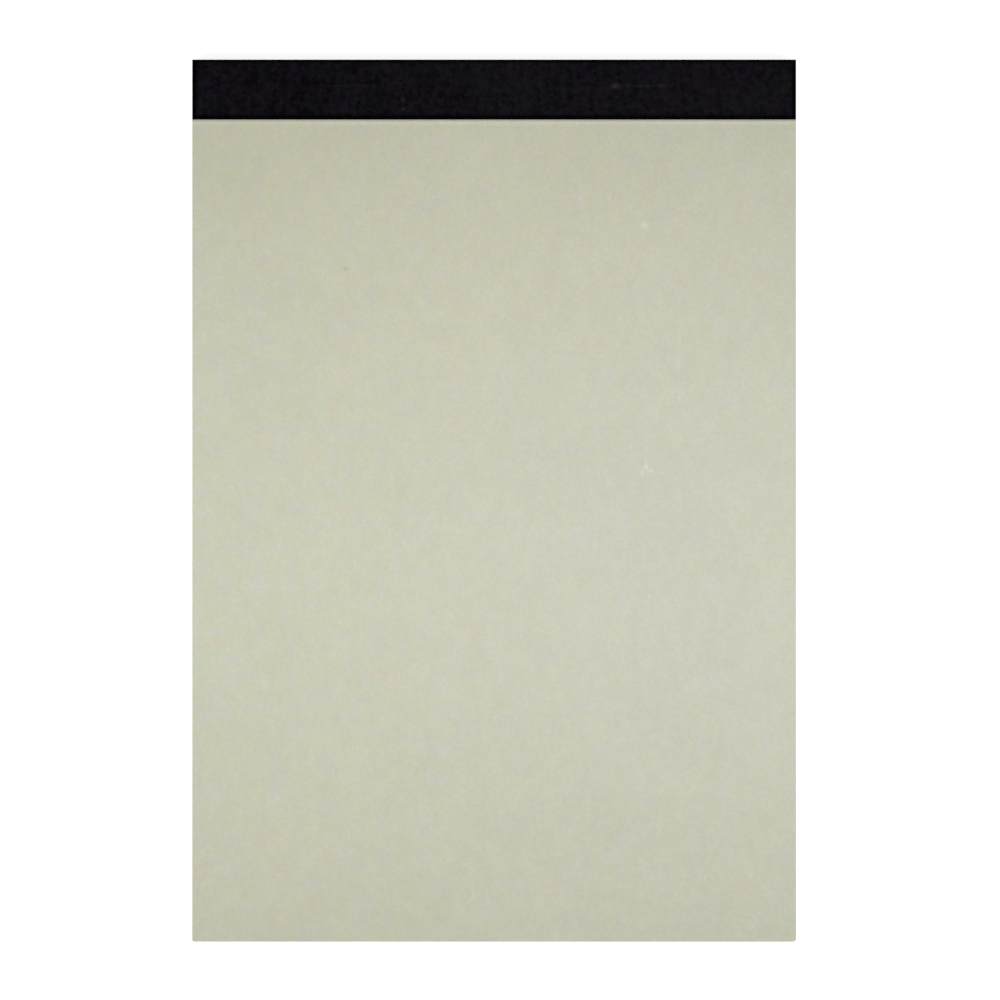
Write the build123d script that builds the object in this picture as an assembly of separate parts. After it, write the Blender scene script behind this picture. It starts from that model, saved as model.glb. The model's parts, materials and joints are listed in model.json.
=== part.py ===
from build123d import *
import os

# A notepad bound along its head. Its sheets lie between a card cover and a stiff back board, two wire
# staples pass right through at the head, and a strip of tape is folded over the head and hides them.
# The pad lies on its back: X runs across it, +Y points to the taped head and +Z up out of the cover.
# The origin is the middle of its footprint, on the surface that it lies on. Lengths are in millimetres.

# Sheets. The cover and the board have the same outline.
sheet_width = 148.0
sheet_length = 216.0
sheet_thickness = 0.1
sheet_count = 50
foot_corner_radius = 0.4

# Card cover and back board.
cover_thickness = 0.35
board_thickness = 1.0

# Binding tape. Each flap is measured from the tape's own outer face at the head.
tape_thickness = 0.2
tape_front_flap = 14.7
tape_back_flap = 14.7

# Crease of the cover, just clear of the tape's edge. Turned right over, the cover clears the tape.
crease_gap = 0.1
fold_clearance = 0.1

# Staples of flat wire. The crown is measured outside its legs, and is pressed into the card by a share of
# the card's thickness. The legs are clinched inwards under the board, with a gap between their ends.
wire_width = 0.6
wire_thickness = 0.45
wire_clearance = 0.02
inner_bend_radius = 0.3
crown_width = 12.8
clinch_gap = 3.3
staple_spacing = 71.5
staple_setback = 6.4
crown_sink_share = 0.5

# How far each cut runs past the face that it breaks through.
overrun = 1.0

# Levels, from the surface up.
board_bottom = tape_thickness
board_top = board_bottom + board_thickness
pages_top = board_top + sheet_count * sheet_thickness
cover_top = pages_top + cover_thickness
tape_top = cover_top + tape_thickness

# Places along the pad, from the foot to the head.
pad_length = sheet_length + tape_thickness
foot_y = -pad_length / 2
tape_head_y = pad_length / 2
sheet_head_y = tape_head_y - tape_thickness
tape_edge_y = tape_head_y - tape_front_flap
crease_y = tape_edge_y - crease_gap

# The staples: places along the pad and across it, and levels of the wire's middle line.
staple_y = tape_head_y - staple_setback
staple_middles = (-staple_spacing / 2, staple_spacing / 2)
leg_offset = (crown_width - wire_thickness) / 2
clinch_length = leg_offset - clinch_gap / 2
bend_radius = inner_bend_radius + wire_thickness / 2
crown_z = cover_top - crown_sink_share * cover_thickness + wire_thickness / 2
clinch_z = board_bottom + wire_clearance + wire_thickness / 2

# The ridge that each crown raises in the tape.
ridge_margin = wire_clearance + tape_thickness
ridge_top = crown_z + wire_thickness / 2 + ridge_margin

# The line that the cover turns about lies halfway up to where its face comes down above the ridges.
hinge_z = (cover_top + ridge_top + fold_clearance) / 2


def flat_piece(foot, head, bottom, top):
    """A piece of the full width, from foot to head and from bottom to top."""
    middle = Pos(0, (foot + head) / 2, (bottom + top) / 2)
    return middle * Box(sheet_width, head - foot, top - bottom)


def round_foot(piece):
    """The same piece with the two corners at its foot rounded."""
    return fillet(piece.edges().filter_by(Axis.Z).group_by(Axis.Y)[0], foot_corner_radius)


def staple_wire(middle_x, clearance):
    """One closed staple, its wire wider all round and longer at its ends by the clearance."""
    left = middle_x - leg_offset
    right = middle_x + leg_offset
    end_run = clinch_length + clearance
    path = FilletPolyline(
        (left + end_run, staple_y, clinch_z),
        (left, staple_y, clinch_z),
        (left, staple_y, crown_z),
        (right, staple_y, crown_z),
        (right, staple_y, clinch_z),
        (right - end_run, staple_y, clinch_z),
        radius=bend_radius,
    )
    across = Plane(origin=path @ 0, x_dir=Axis.Y.direction, z_dir=path % 0)
    section = across * Rectangle(wire_width + 2 * clearance, wire_thickness + 2 * clearance)
    return sweep(section, path=path)


def staple_room(middle_x):
    """The room that one staple takes up in what it passes through."""
    return staple_wire(middle_x, wire_clearance)


def clinch_room(middle_x):
    """Two slots in the board's underside that let the bent ends of one staple in from below."""
    width = wire_width + 2 * wire_clearance
    bottom = board_bottom - overrun
    slot = Box(crown_width + 2 * wire_clearance, width, clinch_z - bottom)
    between = Box(clinch_gap - 2 * wire_clearance, width + overrun, clinch_z - bottom + overrun)
    return Pos(middle_x, staple_y, (clinch_z + bottom) / 2) * (slot - between)


def crown_block(middle_x, base, margin):
    """A block from the base level up over one staple's crown, past the wire by the margin all round."""
    top = crown_z + wire_thickness / 2 + margin
    block = Box(crown_width + 2 * margin, wire_width + 2 * margin, top - base)
    return Pos(middle_x, staple_y, (base + top) / 2) * block


def crown_ridge(middle_x):
    """The tape raised over one staple's crown, rounded on top and at its corners."""
    block = crown_block(middle_x, cover_top, ridge_margin)
    upright, upper = block.edges().group_by(Axis.Z)[1:]
    return fillet(upright + upper, tape_thickness)


def front_cover():
    """The free part of the card cover, from the foot to the crease."""
    return round_foot(flat_piece(foot_y, crease_y, pages_top, cover_top))


def cover_bound_edge():
    """The strip of the card that the staples and the tape hold."""
    strip = flat_piece(tape_edge_y, sheet_head_y, pages_top, cover_top)
    return strip - [staple_room(x) for x in staple_middles]


def page_block():
    """All the sheets, as one block."""
    block = round_foot(flat_piece(foot_y, sheet_head_y, board_top, pages_top))
    return block - [staple_room(x) for x in staple_middles]


def back_board():
    """The stiff board under the sheets, with the staples' ends pressed into its underside."""
    board = round_foot(flat_piece(foot_y, sheet_head_y, board_bottom, board_top))
    return board - [staple_room(x) + clinch_room(x) for x in staple_middles]


def binding_tape():
    """The tape folded over the head, raised in a ridge over the crown of each staple."""
    front_flap = flat_piece(tape_edge_y, tape_head_y, cover_top, tape_top)
    head_wall = flat_piece(sheet_head_y, tape_head_y, 0, tape_top)
    back_flap = flat_piece(tape_head_y - tape_back_flap, tape_head_y, 0, board_bottom)
    tape = front_flap + head_wall + back_flap
    tape = fillet(tape.edges().filter_by(Axis.X).group_by(Axis.Y)[-1], tape_thickness)
    for x in staple_middles:
        tape = tape + crown_ridge(x) - crown_block(x, cover_top - overrun, wire_clearance)
    return tape


def staples():
    """Both staples, as two separate wires."""
    return Compound(children=[staple_wire(x, 0) for x in staple_middles])


os.makedirs("parts", exist_ok=True)
for make in (front_cover, cover_bound_edge, page_block, back_board, binding_tape, staples):
    export_step(make(), "parts/" + make.__name__ + ".step")

print("cover turns about a line along X at y", crease_y, "z", hinge_z)
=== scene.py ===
"""Looks of a notepad that is bound along its head.

The pad lies on its back: X runs across it, +Y points to its taped head and +Z up out of its cover. Lengths
are in metres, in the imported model's frame. Each piece has its own settings, finish and operator, and all but
the staples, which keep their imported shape, get a new shape here.
"""

import json
import math
import random

import bmesh
import bpy
from bpy.props import FloatProperty, FloatVectorProperty, IntProperty, PointerProperty
from mathutils import Matrix, Vector, noise


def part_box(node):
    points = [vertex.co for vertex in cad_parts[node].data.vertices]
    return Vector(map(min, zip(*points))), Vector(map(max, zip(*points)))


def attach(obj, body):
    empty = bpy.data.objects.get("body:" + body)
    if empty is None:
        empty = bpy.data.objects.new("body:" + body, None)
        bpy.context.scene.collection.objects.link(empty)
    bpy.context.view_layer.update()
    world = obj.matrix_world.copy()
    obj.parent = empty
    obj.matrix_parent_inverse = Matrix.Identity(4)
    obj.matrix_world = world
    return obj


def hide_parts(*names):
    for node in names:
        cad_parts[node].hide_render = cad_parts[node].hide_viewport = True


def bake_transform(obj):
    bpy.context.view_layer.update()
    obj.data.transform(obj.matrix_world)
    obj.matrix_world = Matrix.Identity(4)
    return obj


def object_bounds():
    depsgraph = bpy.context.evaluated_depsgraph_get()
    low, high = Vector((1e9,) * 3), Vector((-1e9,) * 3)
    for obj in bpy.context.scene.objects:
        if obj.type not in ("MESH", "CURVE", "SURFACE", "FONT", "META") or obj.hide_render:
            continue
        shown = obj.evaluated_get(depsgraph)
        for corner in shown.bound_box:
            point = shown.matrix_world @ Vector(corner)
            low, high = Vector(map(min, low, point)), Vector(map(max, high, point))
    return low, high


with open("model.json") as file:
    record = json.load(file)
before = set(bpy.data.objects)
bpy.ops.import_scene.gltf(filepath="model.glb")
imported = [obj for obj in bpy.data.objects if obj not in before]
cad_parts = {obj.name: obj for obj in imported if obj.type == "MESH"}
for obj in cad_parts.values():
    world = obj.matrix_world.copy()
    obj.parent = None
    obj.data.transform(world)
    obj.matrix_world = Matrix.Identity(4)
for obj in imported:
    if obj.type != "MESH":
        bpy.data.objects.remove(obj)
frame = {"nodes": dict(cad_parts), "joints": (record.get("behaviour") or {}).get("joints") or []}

bl_info = {
    "name": "Head-bound notepad",
    "version": (1, 0, 0),
    "blender": (4, 5, 0),
    "location": "3D View > Sidebar > Notepad",
    "description": "Makes the card cover, sheets, board, tape and staples of a notepad, and their stage",
    "category": "Object",
}

MM = 0.001

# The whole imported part, the solids that the new pieces stand for or lie over, and the line that the cover
# turns about.
CAD_LOW, CAD_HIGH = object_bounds()
COVER_LOW, COVER_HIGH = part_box("front_cover")
STRIP_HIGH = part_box("cover_bound_edge")[1]
PAGES_LOW, PAGES_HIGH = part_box("page_block")
BOARD_LOW, BOARD_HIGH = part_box("back_board")
TAPE_LOW, TAPE_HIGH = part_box("binding_tape")
WIRE_LOW, WIRE_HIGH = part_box("staples")
CREASE_Y = frame["joints"][0]["pos_m"][1]
TAPE_THICKNESS = TAPE_HIGH.y - PAGES_HIGH.y
TAPE_TOP = STRIP_HIGH.z + TAPE_THICKNESS

# Attributes that the shapes leave on their meshes for the finishes.
REST_PLACE = "rest_place"
SHEET_TONE = "sheet_tone"
# Rubbing over the staples' crowns, with a painted highlight along them.
CROWN_WEAR_AND_HIGHLIGHT = "crown_wear_and_highlight"


# Settings


def length(name, description, default):
    """A length that a user can change."""
    return FloatProperty(name=name, description=description, default=default, unit="LENGTH", precision=6)


def share(name, description, default):
    """A share from 0 to 1 that a user can change."""
    return FloatProperty(
        name=name, description=description, default=default, min=0, max=1, subtype="FACTOR"
    )


def camera_length(name, description, default):
    """A length inside the camera, in millimetres, that a user can change."""
    return FloatProperty(name=name, description=description, default=default, unit="CAMERA")


def colour(name, description, default):
    """A linear colour that a user can change."""
    return FloatVectorProperty(
        name=name, description=description, default=default, size=3, min=0, max=1, subtype="COLOR"
    )


class CardSettings(bpy.types.PropertyGroup):
    """Sizes and colours of the card cover."""

    printed_colour: colour("Printed face", "Sage grey of the card's outer face", (0.573, 0.576, 0.440))
    warm_colour: colour("Warm fibres", "Colour of the warmer patches of fibre", (0.604, 0.567, 0.433))
    green_colour: colour("Green fibres", "Colour of the greener patches of fibre", (0.562, 0.596, 0.438))
    grey_colour: colour("Grey fibres", "Colour of the greyer patches of fibre", (0.576, 0.575, 0.509))
    aged_colour: colour("Aged", "Colour of the printed face where it has aged", (0.606, 0.568, 0.434))
    inside_colour: colour("Inside", "Colour of the card's unprinted inner face", (0.72, 0.705, 0.645))
    core_colour: colour("Core", "Colour of the card where it is cut", (0.62, 0.61, 0.52))
    scuff_colour: colour("Scuffs", "Colour of the rubbed marks on the printed face", (0.80, 0.80, 0.74))
    soiled_colour: colour("Soiling", "Colour of the faint soiling at the upper left", (0.565, 0.52, 0.34))
    spot_colour: colour("Spot", "Colour of the dark spot on the printed face", (0.34, 0.37, 0.27))
    left_radius: length("Left corner", "Radius of the left corner at the foot", 0.4 * MM)
    right_radius: length("Right corner", "Radius of the worn right corner at the foot", 0.75 * MM)
    edge_radius: length("Edge radius", "Rounding of the cut edges", 0.05 * MM)
    foot_lift: length("Foot lift", "How far the free foot stands off the sheets", 0.22 * MM)
    corner_lift: length("Corner lift", "How much further the right corner stands off", 0.12 * MM)
    crease_length: length("Crease length", "Length of card that bends when the cover is turned", 0.85 * MM)
    grain_size: length("Grain size", "Width of the fine mottling", 0.9 * MM)
    fleck_size: length("Fleck size", "Width between the pale flecks in the printed face", 0.55 * MM)
    crease_fade: length("Crease fade", "Width of the paler line along the crease", 1.8 * MM)
    # The dark line in the fold beside the tape is painted shade.
    fold_shade_width: length("Fold width", "Width of the dark line in the fold, beside the tape", 0.75 * MM)
    patch_size: length("Patch size", "Width of the patches of tinted fibre", 3.7 * MM)
    layer_size: length("Layer size", "Length of the layers that show in the cut edge", 1.2 * MM)


class SheetSettings(bpy.types.PropertyGroup):
    """Sizes and colours of the sheets."""

    sheet_count: IntProperty(name="Sheets", description="Number of sheets", default=50, min=1)
    air_share: share("Air share", "Share of each sheet's height that is air", 0.1)
    corner_radius: length("Corner radius", "Radius of the corners at the foot", 0.4 * MM)
    slip: length("Slip", "How far a sheet may lie out of line", 0.04 * MM)
    tone_spread: share("Tone spread", "How much darker a sheet's cut edge may be", 0.16)
    paper_colour: colour("Paper", "Colour of the sheets", (0.85, 0.84, 0.79))
    fibre_size: length("Fibre size", "Width of the paper's fibres", 0.7 * MM)
    cloud_size: length("Cloud size", "Width of the paper's clouds", 9 * MM)


class BoardSettings(bpy.types.PropertyGroup):
    """Sizes and colours of the back board."""

    corner_radius: length("Corner radius", "Radius of the corners at the foot", 0.4 * MM)
    edge_radius: length("Edge radius", "Rounding of the cut edges", 0.12 * MM)
    pulp_colour: colour("Pulp", "Colour of the grey board", (0.33, 0.315, 0.285))
    dark_colour: colour("Dark flecks", "Colour of the dark flecks in the pulp", (0.12, 0.115, 0.11))
    pale_colour: colour("Pale fibres", "Colour of the pale fibres in the pulp", (0.52, 0.50, 0.46))
    fleck_size: length("Fleck size", "Width of the fibres and flecks", 0.9 * MM)
    cloud_size: length("Cloud size", "Width of the board's clouds", 22 * MM)


class TapeSettings(bpy.types.PropertyGroup):
    """Sizes and colours of the binding tape."""

    bend_radius: length("Bend radius", "Outer radius where the tape turns over the head", 0.26 * MM)
    edge_radius: length("Edge radius", "Rounding of the cut edges", 0.04 * MM)
    crown_width: length("Crown width", "Width of a staple's crown, outside its legs", 12.8 * MM)
    skirt: length("Skirt", "How far out from a crown the tape comes down to the card", 0.5 * MM)
    # The wear over each crown also paints a highlight along it.
    left_wear_and_highlight: share("Left wear", "How far the tape is rubbed over the left staple", 0.16)
    right_wear_and_highlight: share("Right wear", "How far the tape is rubbed over the right staple", 0.40)
    pressed_edge: length("Pressed edge", "Width of the darker line along the edges", 1.9 * MM)
    black_colour: colour("Black", "Colour of the tape", (0.0028, 0.0022, 0.0033))
    grain_colour: colour("Grain", "Colour of the raised grain", (0.0107, 0.0082, 0.0136))
    grey_colour: colour("Grey grain", "Colour of the grain where it is greyer", (0.0088, 0.0103, 0.0118))
    brown_colour: colour("Brown grain", "Colour of the grain where it is browner", (0.0117, 0.0091, 0.0103))
    # Also the colour of the painted highlight over the crowns.
    worn_and_highlight_colour: colour("Worn", "Colour where the tape is rubbed", (0.0300, 0.0289, 0.0254))
    grain_size: length("Grain size", "Width of the grain", 1.75 * MM)
    thread_size: length("Thread size", "Width of the fine threads", 0.35 * MM)
    patch_size: length("Patch size", "Width of the patches of tinted grain", 6.0 * MM)


class StapleSettings(bpy.types.PropertyGroup):
    """Sizes and colours of the staples."""

    wire_colour: colour("Wire", "Colour of the steel wire", (0.60, 0.60, 0.61))
    dull_colour: colour("Dull wire", "Colour of the wire where it is dull", (0.42, 0.42, 0.43))
    streak_size: length("Streak size", "Width of the streaks along the wire", 0.3 * MM)


class StageSettings(bpy.types.PropertyGroup):
    """The floor, the light and the camera."""

    floor_size: length("Floor size", "Side of the square floor", 4.0)
    floor_drop: length("Floor drop", "How far the floor lies below the pad", 0.02 * MM)
    floor_colour: colour("Floor", "Colour of the floor", (0.8, 0.8, 0.8))
    floor_shadow: share("Floor shadow", "Share of the seen floor that takes light and shadow", 0.6)
    floor_glow: share("Floor glow", "Light that the seen floor adds to reach white", 0.745)
    sky: share("Sky", "Strength of the even light from all round", 0.5)
    lamp_across: length("Lamp width", "Width of the softbox, across the pad", 0.6)
    lamp_along: length("Lamp length", "Length of the softbox, along the pad", 0.15)
    lamp_x: length("Lamp X", "Place of the softbox across the pad", 0.035)
    lamp_y: length("Lamp Y", "Place of the softbox along the pad", -0.017)
    lamp_height: length("Lamp height", "Height of the softbox", 0.20)
    lamp_power: FloatProperty(
        name="Lamp power", description="Power of the softbox", default=0.416, unit="POWER"
    )
    lens: camera_length("Lens", "Focal length, in millimetres", 135.0)
    sensor: camera_length("Sensor", "Sensor width, in millimetres", 36.0)
    view_width: length("View width", "Width of the picture at the height of the cover", 245.16 * MM)
    view_x: length("View X", "Place of the picture's middle across the pad", 1.434 * MM)
    view_y: length("View Y", "Place of the picture's middle along the pad", 0.123 * MM)


class NotepadSettings(bpy.types.PropertyGroup):
    """All the settings of the notepad."""

    card: PointerProperty(type=CardSettings)
    sheets: PointerProperty(type=SheetSettings)
    board: PointerProperty(type=BoardSettings)
    tape: PointerProperty(type=TapeSettings)
    staples: PointerProperty(type=StapleSettings)
    stage: PointerProperty(type=StageSettings)


# Shapes

X_AXIS = Vector((1, 0, 0))
Y_AXIS = Vector((0, 1, 0))

# Half the side of a unit square, which is the size that a grid is given.
UNIT_HALF = 0.5

# Steps round each corner of a plan.
CORNER_STEPS = 4

# Points that lie nearer to a cut than this are on it.
ON_CUT = 1e-8

# Edges that turn by more than this are sharp.
SHARP_TURN = math.radians(40)

# A face lies flat if the upright part of its normal is more than this, up or down.
FLAT_NORMAL = 0.9


def plan_face(low, high, level, left_radius=0, right_radius=0):
    """A new shape: one flat face over a box's plan, facing up, its two corners at the foot rounded."""
    shape = bmesh.new()
    middle = (low + high) / 2
    size = high - low
    place = Matrix.Translation((middle.x, middle.y, level)) @ Matrix.Diagonal((size.x, size.y, 1, 1))
    bmesh.ops.create_grid(shape, x_segments=1, y_segments=1, size=UNIT_HALF, matrix=place)
    for side, radius in ((-1, left_radius), (1, right_radius)):
        corner = [v for v in shape.verts if v.co.y < middle.y and side * (v.co.x - middle.x) > 0]
        if radius:
            bmesh.ops.bevel(
                shape, geom=corner, affect="VERTICES", offset=radius, segments=CORNER_STEPS,
                profile=0.5, material=-1,
            )
    return shape


def everything(shape):
    """All the points, edges and faces of a shape."""
    return shape.verts[:] + shape.edges[:] + shape.faces[:]


def only(kind, geom):
    """The parts of one kind in a list of points, edges and faces."""
    return [part for part in geom if isinstance(part, kind)]


def cut_across(shape, axis, places):
    """Cuts loops across a shape, at places along one axis."""
    for place in places:
        bmesh.ops.bisect_plane(
            shape, geom=everything(shape), dist=ON_CUT, plane_co=axis * place, plane_no=axis
        )


def thicken(shape, thickness):
    """Gives a sheet its thickness, on the side that its faces turn away from."""
    shape.normal_update()
    bmesh.ops.solidify(shape, geom=shape.faces[:], thickness=thickness)


def soften_edges(shape, radius, segments):
    """Rounds the sharp edges of a closed shape."""
    shape.normal_update()
    sharp = [e for e in shape.edges if e.calc_face_angle() > SHARP_TURN]
    bmesh.ops.bevel(
        shape, geom=sharp, affect="EDGES", offset=radius, segments=segments, profile=0.5, material=-1
    )
    shape.normal_update()


def lies_flat(face):
    """Whether a face looks straight up or down, more or less."""
    return abs(face.normal.z) > FLAT_NORMAL


def spaced(first, last, steps):
    """Evenly spaced places from the first to the last."""
    return [first + (last - first) * step / steps for step in range(steps + 1)]


def smooth(value):
    """Eases a share from 0 to 1 in and out."""
    value = min(max(value, 0), 1)
    return value * value * (3 - 2 * value)


def make_piece(name, shape, *finishes):
    """A new object from a shape and its materials."""
    mesh = bpy.data.meshes.new(name)
    shape.to_mesh(mesh)
    shape.free()
    for finish in finishes:
        mesh.materials.append(finish)
    piece = bpy.data.objects.new(name, mesh)
    bpy.context.scene.collection.objects.link(piece)
    return piece


# Finishes

# Places of a Mix node's colour sockets: its two colours and its result.
MIX_FIRST, MIX_SECOND, MIX_RESULT = 6, 7, 2

# Where most of a noise's values lie.
NOISE_LOW, NOISE_HIGH = 0.3, 0.7

# The share of its reach over which a mark keeps its full strength.
FULL_SHARE = 0.1

# A reach longer than the pad, for a mark that runs right along it or across it.
WHOLE_PAD = 1.0

# Where a fleck starts to fade and where it ends, as shares of the width between flecks, and the range of a
# cell's random tone over which its fleck comes in.
FLECK_FADE_SHARES = (0.15, 0.4)
FLECK_CHOICE = (0.5, 0.55)


class Finish:
    """A procedural material, with short calls for the nodes that the finishes share."""

    def __init__(self, name, place_attribute=None):
        self.material = bpy.data.materials.new(name)
        self.material.use_nodes = True
        self.tree = self.material.node_tree
        self.shader = self.tree.nodes["Principled BSDF"]
        if place_attribute:
            self.place = self.attribute(place_attribute, "Vector")
        else:
            self.place = self.add("ShaderNodeTexCoord").outputs["Object"]

    def feed(self, socket, value):
        """Links an output to a socket, or sets the socket's own value."""
        if isinstance(value, bpy.types.NodeSocket):
            self.tree.links.new(value, socket)
        else:
            socket.default_value = value

    def add(self, kind, inputs=None, **settings):
        """A node of a kind, with its settings and what goes into its inputs."""
        node = self.tree.nodes.new(kind)
        for name, value in settings.items():
            setattr(node, name, value)
        for socket, value in (inputs or {}).items():
            self.feed(node.inputs[socket], value)
        return node

    def attribute(self, name, output):
        """An attribute of the mesh."""
        return self.add("ShaderNodeAttribute", attribute_name=name).outputs[output]

    def grain(self, size, detail=2.0, roughness=0.5, stretch=(1, 1, 1), turn=0.0, shift=0.0):
        """Noise about one half, in blobs of one size, longer along each axis by its stretch.

        A shift gives other blobs of the same kind.
        """
        scale = [1 / (size * s) for s in stretch]
        turned = {"Vector": self.place, "Rotation": (0, 0, turn)}
        place = self.add("ShaderNodeMapping", turned).outputs["Vector"]
        sized = {"Vector": place, "Scale": scale, "Location": (shift, shift, shift)}
        place = self.add("ShaderNodeMapping", sized).outputs["Vector"]
        inputs = {"Vector": place, "Scale": 1.0, "Detail": detail, "Roughness": roughness}
        return self.add("ShaderNodeTexNoise", inputs).outputs["Fac"]

    def flecks(self, apart):
        """Small round flecks, some of them left out."""
        place = self.add("ShaderNodeVectorMath", {0: self.place, "Scale": 1 / apart}, operation="SCALE")
        cells = self.add("ShaderNodeTexVoronoi", {"Vector": place.outputs["Vector"], "Scale": 1.0})
        chosen = self.ease(cells.outputs["Color"], *FLECK_CHOICE)
        return self.times(self.ease(cells.outputs["Distance"], *FLECK_FADE_SHARES, 1.0, 0.0), chosen)

    def ease(self, value, low, high, at_low=0.0, at_high=1.0):
        """Goes smoothly from one value to another as the input goes from low to high."""
        inputs = {"Value": value, "From Min": low, "From Max": high, "To Min": at_low, "To Max": at_high}
        return self.add("ShaderNodeMapRange", inputs, interpolation_type="SMOOTHSTEP").outputs["Result"]

    def spread(self, value, low, high):
        """Spreads noise that lies about one half over a straight range."""
        inputs = {
            "Value": value, "From Min": NOISE_LOW, "From Max": NOISE_HIGH, "To Min": low, "To Max": high
        }
        return self.add("ShaderNodeMapRange", inputs).outputs["Result"]

    def waver(self, value, amount, about=0.0):
        """Spreads noise by the same amount above and below a level."""
        return self.spread(value, about - amount, about + amount)

    def maths(self, operation, first, second):
        """One sum of two values."""
        return self.add("ShaderNodeMath", {0: first, 1: second}, operation=operation).outputs["Value"]

    def times(self, first, second):
        """Two values multiplied."""
        return self.maths("MULTIPLY", first, second)

    def total(self, first, *others):
        """Values added up."""
        for other in others:
            first = self.maths("ADD", first, other)
        return first

    def most(self, first, *others):
        """The highest of some values."""
        for other in others:
            first = self.maths("MAXIMUM", first, other)
        return first

    def opaque(self, value):
        """A colour setting with its alpha, or an output as it is."""
        if isinstance(value, bpy.types.NodeSocket):
            return value
        return (*value, 1.0)

    def mix(self, amount, first, second):
        """Goes from one colour to another by an amount from 0 to 1."""
        inputs = {"Factor": amount, MIX_FIRST: self.opaque(first), MIX_SECOND: self.opaque(second)}
        return self.add("ShaderNodeMix", inputs, data_type="RGBA").outputs[MIX_RESULT]

    def patch(self, blobs, limits, amount, tint, patch_tint):
        """Tints a colour by an amount in patches, which come in as noise goes from limit to limit."""
        return self.mix(self.ease(blobs, *limits, 0.0, amount), tint, patch_tint)

    def shade(self, tint, amount):
        """A colour made lighter or darker by a factor."""
        shaded = self.add("ShaderNodeVectorMath", {0: tint, "Scale": amount}, operation="SCALE")
        return shaded.outputs["Vector"]

    def near(self, point, reach):
        """One at a point, and down to nothing at its reach along each axis."""
        away = self.add("ShaderNodeVectorMath", {0: self.place, 1: point}, operation="SUBTRACT")
        away = self.add("ShaderNodeVectorMath", {0: away.outputs[0], 1: reach}, operation="DIVIDE")
        away = self.add("ShaderNodeVectorMath", {0: away.outputs[0]}, operation="LENGTH")
        return self.ease(away.outputs["Value"], FULL_SHARE, 1.0, 1.0, 0.0)

    def mark(self, point, reach, amount):
        """A mark of some strength at a point, down to nothing at its reach along each axis."""
        return self.times(self.near(point, reach), amount)

    def surface(self, **sockets):
        """Sets or links the shader's own sockets, named with underscores for spaces."""
        for name, value in sockets.items():
            self.feed(self.shader.inputs[name.replace("_", " ")], value)

    def relief(self, height, depth):
        """Fine relief, from a height of 0 to 1 and its depth."""
        bump = self.add("ShaderNodeBump", {"Height": height, "Distance": depth})
        self.feed(self.shader.inputs["Normal"], bump.outputs["Normal"])


# Card cover

# Steps between the loops that are cut into the card: over its crease, and over its free length and width.
CREASE_STEPS = 12
LENGTH_STEPS = 24
WIDTH_STEPS = 12

# Powers by which the card's lift grows towards its foot, and its right corner's lift grows across it.
FOOT_LIFT_POWER = 3
CORNER_LIFT_POWER = 2

# The order of the card's finishes.
PRINTED, PLAIN, CUT = range(3)

# Marks of handling on the printed face: the setting with the colour of each, its middle, its reach along
# each axis, and how strong it is.
CARD_MARKS = (
    ("scuff_colour", Vector((36.85, 67.5, 6.5)) * MM, Vector((1.6, 1.6, 5)) * MM, 0.30),
    ("scuff_colour", Vector((37.35, 8.3, 6.5)) * MM, Vector((1.0, 1.1, 5)) * MM, 0.33),
    ("scuff_colour", Vector((36.3, 6.7, 6.5)) * MM, Vector((0.6, 1.4, 5)) * MM, 0.36),
    ("scuff_colour", Vector((38.4, 7.2, 6.5)) * MM, Vector((1.1, 0.7, 5)) * MM, 0.36),
    ("scuff_colour", Vector((37.3, 11.0, 6.5)) * MM, Vector((0.7, 14, 5)) * MM, 0.08),
    ("scuff_colour", Vector((45.3, 36.5, 6.5)) * MM, Vector((0.7, 18, 5)) * MM, 0.08),
    ("soiled_colour", Vector((-60, 84, 6.5)) * MM, Vector((46, 34, 50)) * MM, 0.15),
    ("spot_colour", Vector((-36.35, 56.8, 6.5)) * MM, Vector((1.2, 0.9, 5)) * MM, 0.33),
)

# A painted sheen: the printed face made greyer over its right middle.
PAINTED_SHEEN_PLACE = Vector((46, -18, 6.5)) * MM
PAINTED_SHEEN_REACH = Vector((95, 128, 50)) * MM
PAINTED_SHEEN_TINT = 0.34

# Where the printed face has aged, below the tape: how far its colour has turned, and how much paler it is.
AGED_PLACE = Vector((4, 64, 6.5)) * MM
AGED_REACH = Vector((100, 58, 50)) * MM
AGED_TINT = 0.2
AGED_LEVEL = 0.024

# The noise limits between which patches of tinted fibre come in, and how far they are tinted.
CARD_PATCH_LIMITS = (0.46, 0.62)
CARD_PATCH_TINT = 0.5

# How much lighter or darker each thing makes the printed face.
GRAIN_LEVEL = 0.045
MOTTLE_LEVEL = 0.015
CLOUD_LEVEL = 0.014
FLECK_LEVEL = 0.09
CREASE_LEVEL = 0.14
# The fold's dark line is painted shade, where the tape's edge meets the card.
FOLD_SHADE_LEVEL = -0.42

# The mottling's limits between which the pale flecks come in.
FLECKED_LIMITS = (0.5, 0.6)

# How much larger than the patches the cloudy variation is, on each face of the card.
PRINTED_CLOUD_SCALE = 5
PLAIN_CLOUD_SCALE = 4

# How much lighter or darker the inner face's grain and clouds, and the cut edge's layers, make them.
PLAIN_GRAIN_LEVEL = 0.035
PLAIN_CLOUD_LEVEL = 0.02
LAYER_LEVELS = (0.9, 1.08)

PRINTED_ROUGHNESS = (0.44, 0.52)


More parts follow.
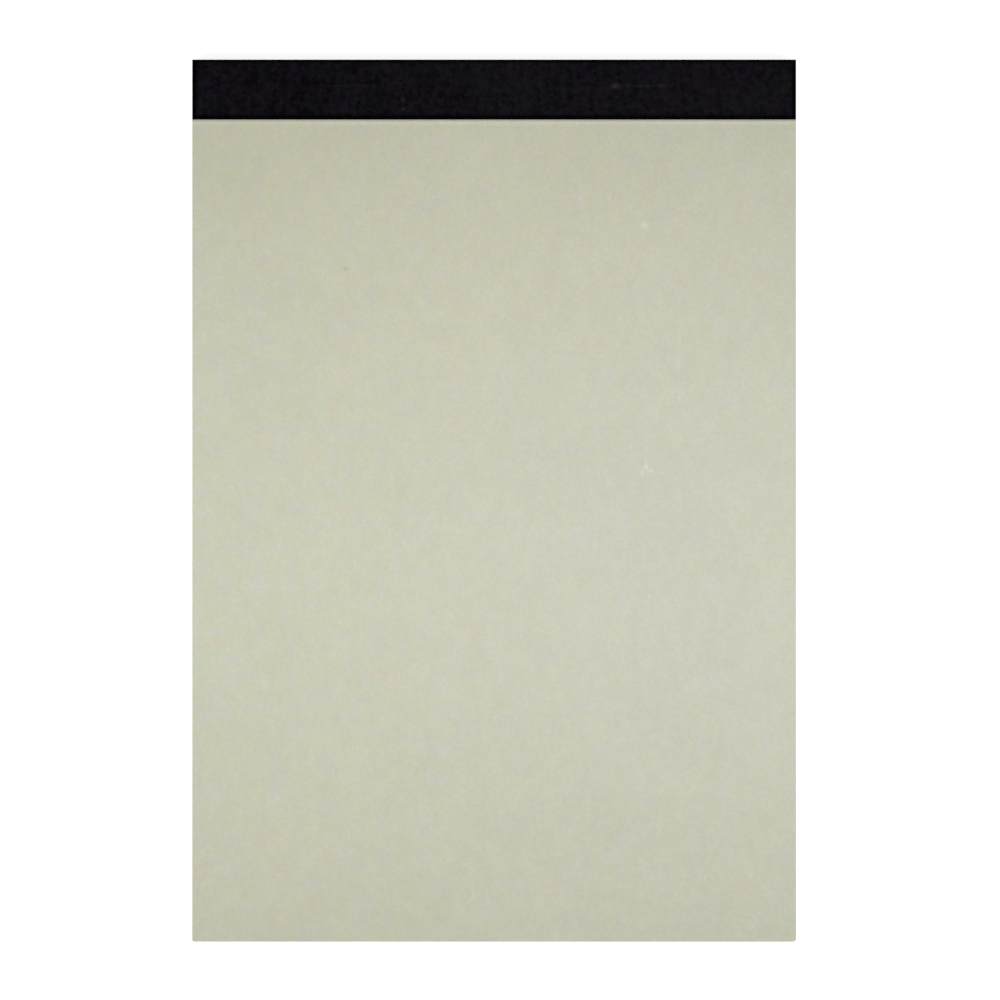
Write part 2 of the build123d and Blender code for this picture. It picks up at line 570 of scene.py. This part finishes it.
def card_shape(settings):
    """The cover in one sheet from its foot to the head, its free part lifting a little towards the foot."""
    low = COVER_LOW
    high = Vector((COVER_HIGH.x, STRIP_HIGH.y, COVER_HIGH.z))
    shape = plan_face(low, high, high.z, settings.left_radius, settings.right_radius)
    crease_end = CREASE_Y - settings.crease_length
    cut_across(shape, Y_AXIS, spaced(CREASE_Y, crease_end, CREASE_STEPS))
    cut_across(shape, Y_AXIS, spaced(crease_end, low.y, LENGTH_STEPS)[1:-1])
    cut_across(shape, X_AXIS, spaced(low.x, high.x, WIDTH_STEPS)[1:-1])
    for vert in shape.verts:
        along = max(crease_end - vert.co.y, 0) / (crease_end - low.y)
        across = (vert.co.x - low.x) / (high.x - low.x)
        lift = settings.foot_lift + settings.corner_lift * across**CORNER_LIFT_POWER
        vert.co.z += lift * along**FOOT_LIFT_POWER
    thicken(shape, high.z - low.z)
    soften_edges(shape, settings.edge_radius, segments=2)
    place = shape.verts.layers.float_vector.new(REST_PLACE)
    for vert in shape.verts:
        vert[place] = vert.co
    for face in shape.faces:
        face.material_index = CUT
        if lies_flat(face):
            face.material_index = PRINTED if face.normal.z > 0 else PLAIN
    return shape


def printed_tint(finish, settings, aged):
    """The printed face's colour: sage grey with patches of tinted fibre, greyed by a painted sheen, and aged.
    """
    tint = settings.printed_colour
    patch_tints = (settings.warm_colour, settings.green_colour, settings.grey_colour)
    for number, patch_tint in enumerate(patch_tints):
        blobs = finish.grain(settings.patch_size, roughness=0.55, shift=7 + 5 * number)
        tint = finish.patch(blobs, CARD_PATCH_LIMITS, CARD_PATCH_TINT, tint, patch_tint)
    # Painted sheen: the grey fibre colour mixed in over the right middle.
    tint = finish.mix(finish.mark(PAINTED_SHEEN_PLACE, PAINTED_SHEEN_REACH, PAINTED_SHEEN_TINT), tint, settings.grey_colour)
    return finish.mix(finish.times(aged, AGED_TINT), tint, settings.aged_colour)


def printed_level(finish, settings, fine, aged):
    """How light the printed face is: its grain, mottling, clouds and flecks, the paler line at its crease, and
    painted shade in the fold beside the tape.
    """
    mottle = finish.grain(settings.patch_size, stretch=(0.9, 1.3, 1), shift=3)
    cloud = finish.grain(settings.patch_size * PRINTED_CLOUD_SCALE, shift=5)
    flecks = finish.times(finish.flecks(settings.fleck_size), finish.ease(mottle, *FLECKED_LIMITS))
    crease_reach = (WHOLE_PAD, settings.crease_fade, WHOLE_PAD)
    fold_shade_reach = (WHOLE_PAD, settings.fold_shade_width, WHOLE_PAD)
    return finish.total(
        finish.waver(fine, GRAIN_LEVEL, about=1.0),
        finish.waver(mottle, MOTTLE_LEVEL),
        finish.waver(cloud, CLOUD_LEVEL),
        finish.times(aged, AGED_LEVEL),
        finish.times(flecks, FLECK_LEVEL),
        finish.mark((0, CREASE_Y, COVER_HIGH.z), crease_reach, CREASE_LEVEL),
        # Painted shade: the dark line in the fold beside the tape's edge.
        finish.mark((0, TAPE_LOW.y, COVER_HIGH.z), fold_shade_reach, FOLD_SHADE_LEVEL),
    )


def printed_card(settings):
    """The card's outer face: satin sage grey over mottled fibre, with the marks of handling."""
    finish = Finish("printed_card", REST_PLACE)
    fine = finish.grain(settings.grain_size, detail=3, roughness=0.65)
    aged = finish.near(AGED_PLACE, AGED_REACH)
    tint = printed_tint(finish, settings, aged)
    tint = finish.shade(tint, printed_level(finish, settings, fine, aged))
    for name, place, reach, amount in CARD_MARKS:
        tint = finish.mix(finish.mark(place, reach, amount), tint, getattr(settings, name))
    roughness = finish.spread(fine, *PRINTED_ROUGHNESS)
    finish.surface(Base_Color=tint, Roughness=roughness, Specular_IOR_Level=0.4)
    finish.relief(fine, depth=0.012 * MM)
    return finish.material


def plain_card(settings):
    """The card's inner face: the same fibre, not printed."""
    finish = Finish("plain_card", REST_PLACE)
    fine = finish.grain(settings.grain_size, detail=3, roughness=0.6)
    cloud = finish.grain(settings.patch_size * PLAIN_CLOUD_SCALE, detail=3, shift=9)
    grain_level = finish.waver(fine, PLAIN_GRAIN_LEVEL, about=1.0)
    level = finish.total(grain_level, finish.waver(cloud, PLAIN_CLOUD_LEVEL))
    tint = finish.shade(settings.inside_colour, level)
    finish.surface(Base_Color=tint, Roughness=0.8, Specular_IOR_Level=0.25)
    finish.relief(fine, depth=0.015 * MM)
    return finish.material


def cut_card(settings):
    """The card's cut edge: open fibre in thin layers."""
    finish = Finish("cut_card", REST_PLACE)
    layers = finish.grain(settings.layer_size, detail=3, stretch=(1, 1, 0.04))
    tint = finish.shade(settings.core_colour, finish.spread(layers, *LAYER_LEVELS))
    finish.surface(Base_Color=tint, Roughness=0.9, Specular_IOR_Level=0.2)
    finish.relief(layers, depth=0.02 * MM)
    return finish.material


class NOTEPAD_OT_card_cover(bpy.types.Operator):
    """Makes the card cover in one sheet, cut finely at its crease below the tape"""

    bl_idname = "notepad.card_cover"
    bl_label = "Card cover"

    def execute(self, context):
        settings = context.scene.notepad.card
        finishes = (printed_card(settings), plain_card(settings), cut_card(settings))
        piece = make_piece("card_cover", card_shape(settings), *finishes)
        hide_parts("front_cover", "cover_bound_edge")
        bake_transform(piece)
        return {"FINISHED"}


# Sheets

# The seed of the sheets' small slips and tones.
SHEET_SEED = 7

# How much lighter or darker the fibre and the clouds make the paper.
PAPER_FIBRE_LEVEL = 0.015
PAPER_CLOUD_LEVEL = 0.01


def sheets_shape(settings):
    """All the sheets, each a thin closed sheet of its own, a little out of line with the next."""
    draw = random.Random(SHEET_SEED)
    pitch = (PAGES_HIGH.z - PAGES_LOW.z) / settings.sheet_count
    thickness = pitch * (1 - settings.air_share)
    radius = settings.corner_radius
    shape = plan_face(PAGES_LOW, PAGES_HIGH, PAGES_LOW.z + thickness, radius, radius)
    thicken(shape, thickness)
    tone = shape.faces.layers.float.new(SHEET_TONE)
    first = everything(shape)
    for number in range(settings.sheet_count):
        sheet = first
        if number:
            sheet = bmesh.ops.duplicate(shape, geom=first)["geom"]
        slip = Vector((draw.uniform(-1, 1), draw.uniform(-1, 0), 0)) * settings.slip
        darker = draw.random() * settings.tone_spread
        if number:
            verts = only(bmesh.types.BMVert, sheet)
            bmesh.ops.translate(shape, verts=verts, vec=slip + Vector((0, 0, pitch * number)))
        for face in only(bmesh.types.BMFace, sheet):
            face[tone] = 1 if lies_flat(face) else 1 - darker
    return shape


def sheet_paper(settings):
    """Plain uncoated paper, its cut edges a little darker from sheet to sheet."""
    finish = Finish("sheet_paper")
    fibre = finish.grain(settings.fibre_size, detail=4, roughness=0.65)
    cloud = finish.grain(settings.cloud_size, shift=4)
    fibre_level = finish.waver(fibre, PAPER_FIBRE_LEVEL, about=1.0)
    level = finish.total(fibre_level, finish.waver(cloud, PAPER_CLOUD_LEVEL))
    level = finish.times(level, finish.attribute(SHEET_TONE, "Fac"))
    tint = finish.shade(settings.paper_colour, level)
    finish.surface(Base_Color=tint, Roughness=0.85, Specular_IOR_Level=0.3)
    finish.relief(fibre, depth=0.01 * MM)
    return finish.material


class NOTEPAD_OT_sheets(bpy.types.Operator):
    """Makes the stack of sheets, one by one"""

    bl_idname = "notepad.sheets"
    bl_label = "Sheets"

    def execute(self, context):
        settings = context.scene.notepad.sheets
        piece = make_piece("sheet_stack", sheets_shape(settings), sheet_paper(settings))
        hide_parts("page_block")
        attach(piece, "pad")
        return {"FINISHED"}


# Back board

# How much lighter or darker the fine pulp and the clouds make the board.
PULP_LEVEL = 0.1
BOARD_CLOUD_LEVEL = 0.05

# The ways in which the pale fibres lie, in radians, their form, and the noise limits between which they
# come in, with how far they are tinted.
FIBRE_TURNS = (0.3, 1.2, 2.3)
FIBRE_STRETCH = (5, 0.5, 0.5)
PALE_LIMITS = (0.64, 0.74)
PALE_TINT = 0.6

# The same for the dark flecks, and their width as a share of the fibres'.
DARK_LIMITS = (0.71, 0.78)
DARK_TINT = 0.75
DARK_SIZE_SHARE = 0.9


def board_shape(settings):
    """The stiff board with its cut edges rounded."""
    radius = settings.corner_radius
    shape = plan_face(BOARD_LOW, BOARD_HIGH, BOARD_HIGH.z, radius, radius)
    thicken(shape, BOARD_HIGH.z - BOARD_LOW.z)
    soften_edges(shape, settings.edge_radius, segments=3)
    return shape


def grey_board(settings):
    """Grey board of pressed pulp, with dark flecks and pale fibres in it."""
    finish = Finish("grey_board")
    fine = finish.grain(settings.fleck_size, detail=4, roughness=0.65)
    cloud = finish.grain(settings.cloud_size, detail=3, shift=2)
    pulp_level = finish.waver(fine, PULP_LEVEL, about=1.0)
    level = finish.total(pulp_level, finish.waver(cloud, BOARD_CLOUD_LEVEL))
    tint = finish.shade(settings.pulp_colour, level)
    for number, turn in enumerate(FIBRE_TURNS):
        shift = 11 + 4 * number
        fibres = finish.grain(settings.fleck_size, stretch=FIBRE_STRETCH, turn=turn, shift=shift)
        tint = finish.patch(fibres, PALE_LIMITS, PALE_TINT, tint, settings.pale_colour)
    flecks = finish.grain(settings.fleck_size * DARK_SIZE_SHARE, detail=1, shift=31)
    tint = finish.patch(flecks, DARK_LIMITS, DARK_TINT, tint, settings.dark_colour)
    finish.surface(Base_Color=tint, Roughness=0.92, Specular_IOR_Level=0.2)
    finish.relief(fine, depth=0.04 * MM)
    return finish.material


class NOTEPAD_OT_back_board(bpy.types.Operator):
    """Makes the grey board at the back"""

    bl_idname = "notepad.back_board"
    bl_label = "Back board"

    def execute(self, context):
        settings = context.scene.notepad.board
        piece = make_piece("backing_board", board_shape(settings), grey_board(settings))
        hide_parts("back_board")
        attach(piece, "pad")
        return {"FINISHED"}


# Binding tape

# How far the tape is cut finely past a crown's ends, and to each side of its middle line, as shares of the
# skirt.
END_ROOM_SHARE = 1.2
SIDE_ROOM_SHARE = 1.56

# Steps between the loops that are cut into the tape: at each end of a crown, between its ends and over its
# sides. Then the steps of a bend over the head.
END_STEPS = 12
CROWN_STEPS = 14
SIDE_STEPS = 22
BEND_STEPS = 6

# Points that lie nearer to the first bend than this are at its start.
AT_BEND = 1e-7

# How unevenly the tape's skirt comes down: the share of its reach by which it wavers, the waves to the metre
# along a crown, and how far apart in the noise the two crowns are, to the metre between them.
SKIRT_WAVER_SHARE = 0.15
SKIRT_WAVES = 350
SKIRT_APART = 100

# Rubbed places on the tape's front: the middle of each, its reach along each axis, and how worn it is.
TAPE_MARKS = (
    (Vector((29.7, 101.6, 7)) * MM, Vector((1.5, 1.1, 5)) * MM, 0.93),
    (Vector((40.7, 101.7, 7)) * MM, Vector((1.0, 0.7, 5)) * MM, 0.45),
    (Vector((-22.35, 98.3, 7)) * MM, Vector((0.8, 0.8, 5)) * MM, 0.57),
    (Vector((-22.35, 95.9, 7)) * MM, Vector((0.7, 0.7, 5)) * MM, 0.55),
)

# Painted light right of the tape's middle: how much paler it makes the tape, and how far it makes its grain
# greyer.
PAINTED_LIGHT_PLACE = Vector((45, 100, 7)) * MM
PAINTED_LIGHT_REACH = Vector((130, 60, 60)) * MM
PAINTED_LIGHT_LEVEL = 0.2
PAINTED_LIGHT_TINT = 0.32

# How far each thing takes the tape from its black to the colour of its raised grain.
TAPE_GRAIN_LEVELS = (-0.42, 1.1)
STREAK_LEVELS = (-0.1, 0.2)
THREAD_LEVEL = 0.15
TAPE_CLOUD_LEVEL = 0.16

# How much larger than the patches of tinted grain the tape's clouds are, the noise limits between which the
# patches come in, and how far they are tinted.
TAPE_CLOUD_SCALE = 2
TAPE_PATCH_LIMITS = (0.46, 0.6)
TAPE_PATCH_TINT = 0.8

# The wear and painted highlight over a crown: the noise limits between which they come in along the threads
# and the streaks, and their least strength below them.
WEAR_AND_HIGHLIGHT_THREAD_LIMITS = (0.35, 0.65)
WEAR_AND_HIGHLIGHT_THREAD_LEAST = 0.5
WEAR_AND_HIGHLIGHT_STREAK_LIMITS = (0.4, 0.6)
WEAR_AND_HIGHLIGHT_STREAK_LEAST = 0.4

# The width of the pressed line at the head, as a share of the others', and how dark pressing makes the tape.
PRESSED_HEAD_SHARE = 0.7
PRESSED_LEVEL = 0.15

# How far the grain stands up beside the threads.
GRAIN_RELIEF_SHARE = 0.6

TAPE_ROUGHNESS = (0.78, 0.9)


def crown_middles(settings):
    """The middles of the two staples' crowns."""
    level = (WIRE_LOW.y + WIRE_HIGH.y) / 2
    reach = settings.crown_width / 2
    return [Vector((x, level, 0)) for x in (WIRE_LOW.x + reach, WIRE_HIGH.x - reach)]


def rise_at(place, middle, settings):
    """The share of a crown's height that the tape has at a place."""
    half = Vector((settings.crown_width / 2, (WIRE_HIGH.y - WIRE_LOW.y) / 2))
    past_end = max(abs(place.x - middle.x) - half.x, 0)
    past_side = max(abs(place.y - middle.y) - half.y / 2, 0)
    uneven = noise.noise(Vector((place.x * SKIRT_WAVES, middle.x * SKIRT_APART, 0)))
    reach = settings.skirt * (1 + SKIRT_WAVER_SHARE * uneven)
    return smooth(1 - math.hypot(past_end, past_side) / reach)


def cut_round_crowns(shape, settings):
    """Cuts the tape finely where it rises over the crowns."""
    reach = settings.crown_width / 2
    room = settings.skirt * END_ROOM_SHARE
    middles = crown_middles(settings)
    for middle in middles:
        left, right = middle.x - reach, middle.x + reach
        for end in (left, right):
            cut_across(shape, X_AXIS, spaced(end - room, end + room, END_STEPS))
        cut_across(shape, X_AXIS, spaced(left + room, right - room, CROWN_STEPS)[1:-1])
    room = settings.skirt * SIDE_ROOM_SHARE
    cut_across(shape, Y_AXIS, spaced(middles[0].y - room, middles[0].y + room, SIDE_STEPS))


def raise_over_crowns(shape, settings):
    """Raises the tape over the crowns, and notes how far it is rubbed and has a painted highlight there."""
    wear_and_highlight = shape.verts.layers.float.new(CROWN_WEAR_AND_HIGHLIGHT)
    for vert in shape.verts:
        left, right = [rise_at(vert.co, middle, settings) for middle in crown_middles(settings)]
        vert[wear_and_highlight] = left * settings.left_wear_and_highlight + right * settings.right_wear_and_highlight
        vert.co.z += (left + right) * (TAPE_HIGH.z - TAPE_TOP)


def turn_down(shape, edges, centre):
    """Takes a row of edges a quarter turn round a line along X, and gives the edges at its end."""
    verts = list(dict.fromkeys(v for e in edges for v in e.verts))
    turned = bmesh.ops.spin(
        shape, geom=verts + edges, cent=centre, axis=X_AXIS, angle=-math.pi / 2, steps=BEND_STEPS
    )
    return only(bmesh.types.BMEdge, turned["geom_last"])


def run_on(shape, edges, way):
    """Takes a row of edges straight on, and gives the edges at its end."""
    run = bmesh.ops.extrude_edge_only(shape, edges=edges)["geom"]
    verts = only(bmesh.types.BMVert, run)
    bmesh.ops.translate(shape, verts=verts, vec=way)
    return [edge for edge in only(bmesh.types.BMEdge, run) if set(edge.verts) <= set(verts)]


def tape_shape(settings):
    """The tape from the edge of its front flap over the head to the edge of its back flap."""
    bend = settings.bend_radius
    flap_high = Vector((TAPE_HIGH.x, TAPE_HIGH.y - bend, 0))
    shape = plan_face(TAPE_LOW, flap_high, TAPE_TOP)
    cut_round_crowns(shape, settings)
    raise_over_crowns(shape, settings)
    edges = [e for e in shape.edges if all(v.co.y > flap_high.y - AT_BEND for v in e.verts)]
    edges = turn_down(shape, edges, (0, flap_high.y, TAPE_TOP - bend))
    edges = run_on(shape, edges, Vector((0, 0, 2 * bend - TAPE_TOP + TAPE_LOW.z)))
    edges = turn_down(shape, edges, (0, flap_high.y, TAPE_LOW.z + bend))
    run_on(shape, edges, Vector((0, TAPE_LOW.y - flap_high.y, 0)))
    thicken(shape, TAPE_THICKNESS)
    soften_edges(shape, settings.edge_radius, segments=1)
    return shape


def pressed_edges(finish, width):
    """One along the edges of the tape's front and down its ends, and nothing further in."""
    head_width = width * PRESSED_HEAD_SHARE
    return finish.most(
        finish.near((0, TAPE_HIGH.y, TAPE_TOP), (WHOLE_PAD, head_width, head_width)),
        finish.near((0, TAPE_LOW.y, TAPE_TOP), (WHOLE_PAD, width, width)),
        finish.near((TAPE_LOW.x, 0, 0), (width, WHOLE_PAD, WHOLE_PAD)),
        finish.near((TAPE_HIGH.x, 0, 0), (width, WHOLE_PAD, WHOLE_PAD)),
    )


def grain_tint(finish, settings, painted_light):
    """The raised grain's colour, greyer where light is painted right of the middle, with patches of other
    tints.
    """
    tint = finish.mix(finish.times(painted_light, PAINTED_LIGHT_TINT), settings.grain_colour, settings.grey_colour)
    for number, patch_tint in enumerate((settings.grey_colour, settings.brown_colour)):
        blobs = finish.grain(settings.patch_size, detail=4, roughness=0.65, shift=12 + 7 * number)
        tint = finish.patch(blobs, TAPE_PATCH_LIMITS, TAPE_PATCH_TINT, tint, patch_tint)
    return tint


def rubbed_and_highlit_places(finish, thread, streaks):
    """How far the tape is rubbed and has a painted highlight: unevenly over the crowns, and rubbed at its
    marks.
    """
    along_threads = finish.ease(thread, *WEAR_AND_HIGHLIGHT_THREAD_LIMITS, WEAR_AND_HIGHLIGHT_THREAD_LEAST)
    along_streaks = finish.ease(streaks, *WEAR_AND_HIGHLIGHT_STREAK_LIMITS, WEAR_AND_HIGHLIGHT_STREAK_LEAST)
    uneven = finish.times(along_threads, along_streaks)
    crowns = finish.times(finish.attribute(CROWN_WEAR_AND_HIGHLIGHT, "Fac"), uneven)
    return finish.most(crowns, *[finish.mark(*mark) for mark in TAPE_MARKS])


def black_tape(settings):
    """Black book tape with a fine uneven grain, rubbed and given a painted highlight over the staples' crowns,
    and painted lighter right of its middle.
    """
    finish = Finish("black_tape")
    grain = finish.grain(settings.grain_size, detail=5, roughness=0.8)
    streaks = finish.grain(settings.grain_size, stretch=(0.6, 5, 5), shift=5)
    thread = finish.grain(settings.thread_size, shift=8)
    cloud = finish.grain(settings.patch_size * TAPE_CLOUD_SCALE, shift=15)
    # Painted light: the tape paler, and its grain greyer, right of its middle.
    painted_light = finish.near(PAINTED_LIGHT_PLACE, PAINTED_LIGHT_REACH)
    level = finish.total(
        finish.spread(grain, *TAPE_GRAIN_LEVELS),
        finish.spread(streaks, *STREAK_LEVELS),
        finish.waver(thread, THREAD_LEVEL),
        finish.waver(cloud, TAPE_CLOUD_LEVEL),
        finish.times(painted_light, PAINTED_LIGHT_LEVEL),
    )
    tint = finish.mix(level, settings.black_colour, grain_tint(finish, settings, painted_light))
    # Rubbing, and a painted highlight over the crowns, in the worn colour.
    tint = finish.mix(rubbed_and_highlit_places(finish, thread, streaks), tint, settings.worn_and_highlight_colour)
    pressed = pressed_edges(finish, settings.pressed_edge)
    tint = finish.shade(tint, finish.ease(pressed, 0.0, 1.0, 1.0, PRESSED_LEVEL))
    roughness = finish.spread(grain, *TAPE_ROUGHNESS)
    finish.surface(Base_Color=tint, Roughness=roughness, Specular_IOR_Level=0.012)
    finish.relief(finish.total(finish.times(grain, GRAIN_RELIEF_SHARE), thread), depth=0.03 * MM)
    return finish.material


class NOTEPAD_OT_binding_tape(bpy.types.Operator):
    """Makes the tape that is folded over the head and raised over the staples"""

    bl_idname = "notepad.binding_tape"
    bl_label = "Binding tape"

    def execute(self, context):
        settings = context.scene.notepad.tape
        piece = make_piece("folded_tape", tape_shape(settings), black_tape(settings))
        piece.data.shade_smooth()
        piece.data.set_sharp_from_angle(angle=SHARP_TURN)
        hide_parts("binding_tape")
        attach(piece, "pad")
        return {"FINISHED"}


# Staples

# The noise limits between which the wire goes dull, and its roughness.
DULL_LIMITS = (0.35, 0.7)
WIRE_ROUGHNESS = (0.28, 0.45)


def staple_steel(settings):
    """Drawn steel wire, duller in places."""
    finish = Finish("staple_steel")
    drawn = finish.grain(settings.streak_size, detail=3, stretch=(6, 1, 6))
    tint = finish.mix(finish.ease(drawn, *DULL_LIMITS), settings.wire_colour, settings.dull_colour)
    finish.surface(Base_Color=tint, Metallic=1.0, Roughness=finish.spread(drawn, *WIRE_ROUGHNESS))
    return finish.material


class NOTEPAD_OT_staples(bpy.types.Operator):
    """Gives the staples their steel"""

    bl_idname = "notepad.staples"
    bl_label = "Staples"

    def execute(self, context):
        mesh = frame["nodes"]["staples"].data
        mesh.materials.clear()
        mesh.materials.append(staple_steel(context.scene.notepad.staples))
        return {"FINISHED"}


# Stage


def seen_directly(tree):
    """One for rays that show the background itself, straight, mirrored or through something clear."""
    path = tree.nodes.new("ShaderNodeLightPath")
    total = path.outputs["Is Camera Ray"]
    for name in ("Is Glossy Ray", "Is Transmission Ray"):
        either = tree.nodes.new("ShaderNodeMath")
        either.operation = "MAXIMUM"
        tree.links.new(total, either.inputs[0])
        tree.links.new(path.outputs[name], either.inputs[1])
        total = either.outputs["Value"]
    return total


def pale_floor(settings):
    """A pale floor that is seen as white, with a faint shadow on it."""
    material = bpy.data.materials.new("pale_floor")
    material.use_nodes = True
    tree = material.node_tree
    tree.nodes.remove(tree.nodes["Principled BSDF"])
    plain = tree.nodes.new("ShaderNodeBsdfDiffuse")
    plain.inputs["Color"].default_value = (*settings.floor_colour, 1)
    seen = tree.nodes.new("ShaderNodeBsdfDiffuse")
    shadow = settings.floor_shadow
    seen.inputs["Color"].default_value = (shadow, shadow, shadow, 1)
    glow = tree.nodes.new("ShaderNodeEmission")
    glow.inputs["Strength"].default_value = settings.floor_glow
    bright = tree.nodes.new("ShaderNodeAddShader")
    choice = tree.nodes.new("ShaderNodeMixShader")
    tree.links.new(seen.outputs[0], bright.inputs[0])
    tree.links.new(glow.outputs[0], bright.inputs[1])
    tree.links.new(seen_directly(tree), choice.inputs[0])
    tree.links.new(plain.outputs[0], choice.inputs[1])
    tree.links.new(bright.outputs[0], choice.inputs[2])
    tree.links.new(choice.outputs[0], tree.nodes["Material Output"].inputs["Surface"])
    return material


def add_floor(settings):
    """The floor that the pad lies on."""
    shape = bmesh.new()
    place = Matrix.Translation((0, 0, CAD_LOW.z - settings.floor_drop))
    bmesh.ops.create_grid(shape, x_segments=1, y_segments=1, size=settings.floor_size / 2, matrix=place)
    make_piece("floor", shape, pale_floor(settings))


def add_sky(settings):
    """Even light from all round, which is seen as white."""
    world = bpy.data.worlds.new("even_light")
    world.use_nodes = True
    tree = world.node_tree
    strength = tree.nodes.new("ShaderNodeMapRange")
    strength.inputs["To Min"].default_value = settings.sky
    tree.links.new(seen_directly(tree), strength.inputs["Value"])
    background = tree.nodes["Background"]
    background.inputs["Color"].default_value = (1, 1, 1, 1)
    tree.links.new(strength.outputs["Result"], background.inputs["Strength"])
    bpy.context.scene.world = world


def add_lamp(settings):
    """One softbox above the pad, which the camera looks through."""
    light = bpy.data.lights.new("softbox", "AREA")
    light.shape = "RECTANGLE"
    light.size = settings.lamp_across
    light.size_y = settings.lamp_along
    light.energy = settings.lamp_power
    lamp = bpy.data.objects.new("softbox", light)
    lamp.location = (settings.lamp_x, settings.lamp_y, settings.lamp_height)
    lamp.visible_camera = False
    bpy.context.scene.collection.objects.link(lamp)


def add_camera(settings):
    """A camera that looks straight down on the cover."""
    camera = bpy.data.cameras.new("camera")
    camera.lens = settings.lens
    camera.sensor_width = settings.sensor
    height = settings.view_width * settings.lens / settings.sensor
    holder = bpy.data.objects.new("camera", camera)
    holder.location = (settings.view_x, settings.view_y, COVER_HIGH.z + height)
    bpy.context.scene.collection.objects.link(holder)
    bpy.context.scene.camera = holder


class NOTEPAD_OT_stage(bpy.types.Operator):
    """Sets up the floor, the light and the camera"""

    bl_idname = "notepad.stage"
    bl_label = "Stage"

    def execute(self, context):
        settings = context.scene.notepad.stage
        add_floor(settings)
        add_sky(settings)
        add_lamp(settings)
        add_camera(settings)
        context.scene.view_settings.view_transform = "Standard"
        return {"FINISHED"}


# Add-on


class NOTEPAD_PT_sidebar(bpy.types.Panel):
    """Lists the pieces of the notepad and its stage, with their settings"""

    bl_idname = "NOTEPAD_PT_sidebar"
    bl_label = "Notepad"
    bl_space_type = "VIEW_3D"
    bl_region_type = "UI"
    bl_category = "Notepad"

    def draw(self, context):
        for name, operator in OPERATORS.items():
            settings = getattr(context.scene.notepad, name)
            box = self.layout.box()
            box.operator(operator.bl_idname)
            for setting in type(settings).__annotations__:
                box.prop(settings, setting)


# The operator of each piece and of the stage, by the name of its settings.
OPERATORS = {
    "card": NOTEPAD_OT_card_cover,
    "sheets": NOTEPAD_OT_sheets,
    "board": NOTEPAD_OT_back_board,
    "tape": NOTEPAD_OT_binding_tape,
    "staples": NOTEPAD_OT_staples,
    "stage": NOTEPAD_OT_stage,
}

CLASSES = (
    CardSettings,
    SheetSettings,
    BoardSettings,
    TapeSettings,
    StapleSettings,
    StageSettings,
    NotepadSettings,
    *OPERATORS.values(),
    NOTEPAD_PT_sidebar,
)


def register():
    """Adds the classes, and the settings to every scene."""
    for cls in CLASSES:
        bpy.utils.register_class(cls)
    bpy.types.Scene.notepad = PointerProperty(type=NotepadSettings)


def unregister():
    """Takes the settings and the classes away again."""
    del bpy.types.Scene.notepad
    for cls in reversed(CLASSES):
        bpy.utils.unregister_class(cls)


def main():
    """Makes every piece and the stage."""
    register()
    bpy.ops.notepad.card_cover()
    bpy.ops.notepad.sheets()
    bpy.ops.notepad.back_board()
    bpy.ops.notepad.binding_tape()
    bpy.ops.notepad.staples()
    bpy.ops.notepad.stage()


if __name__ == "__main__":
    main()
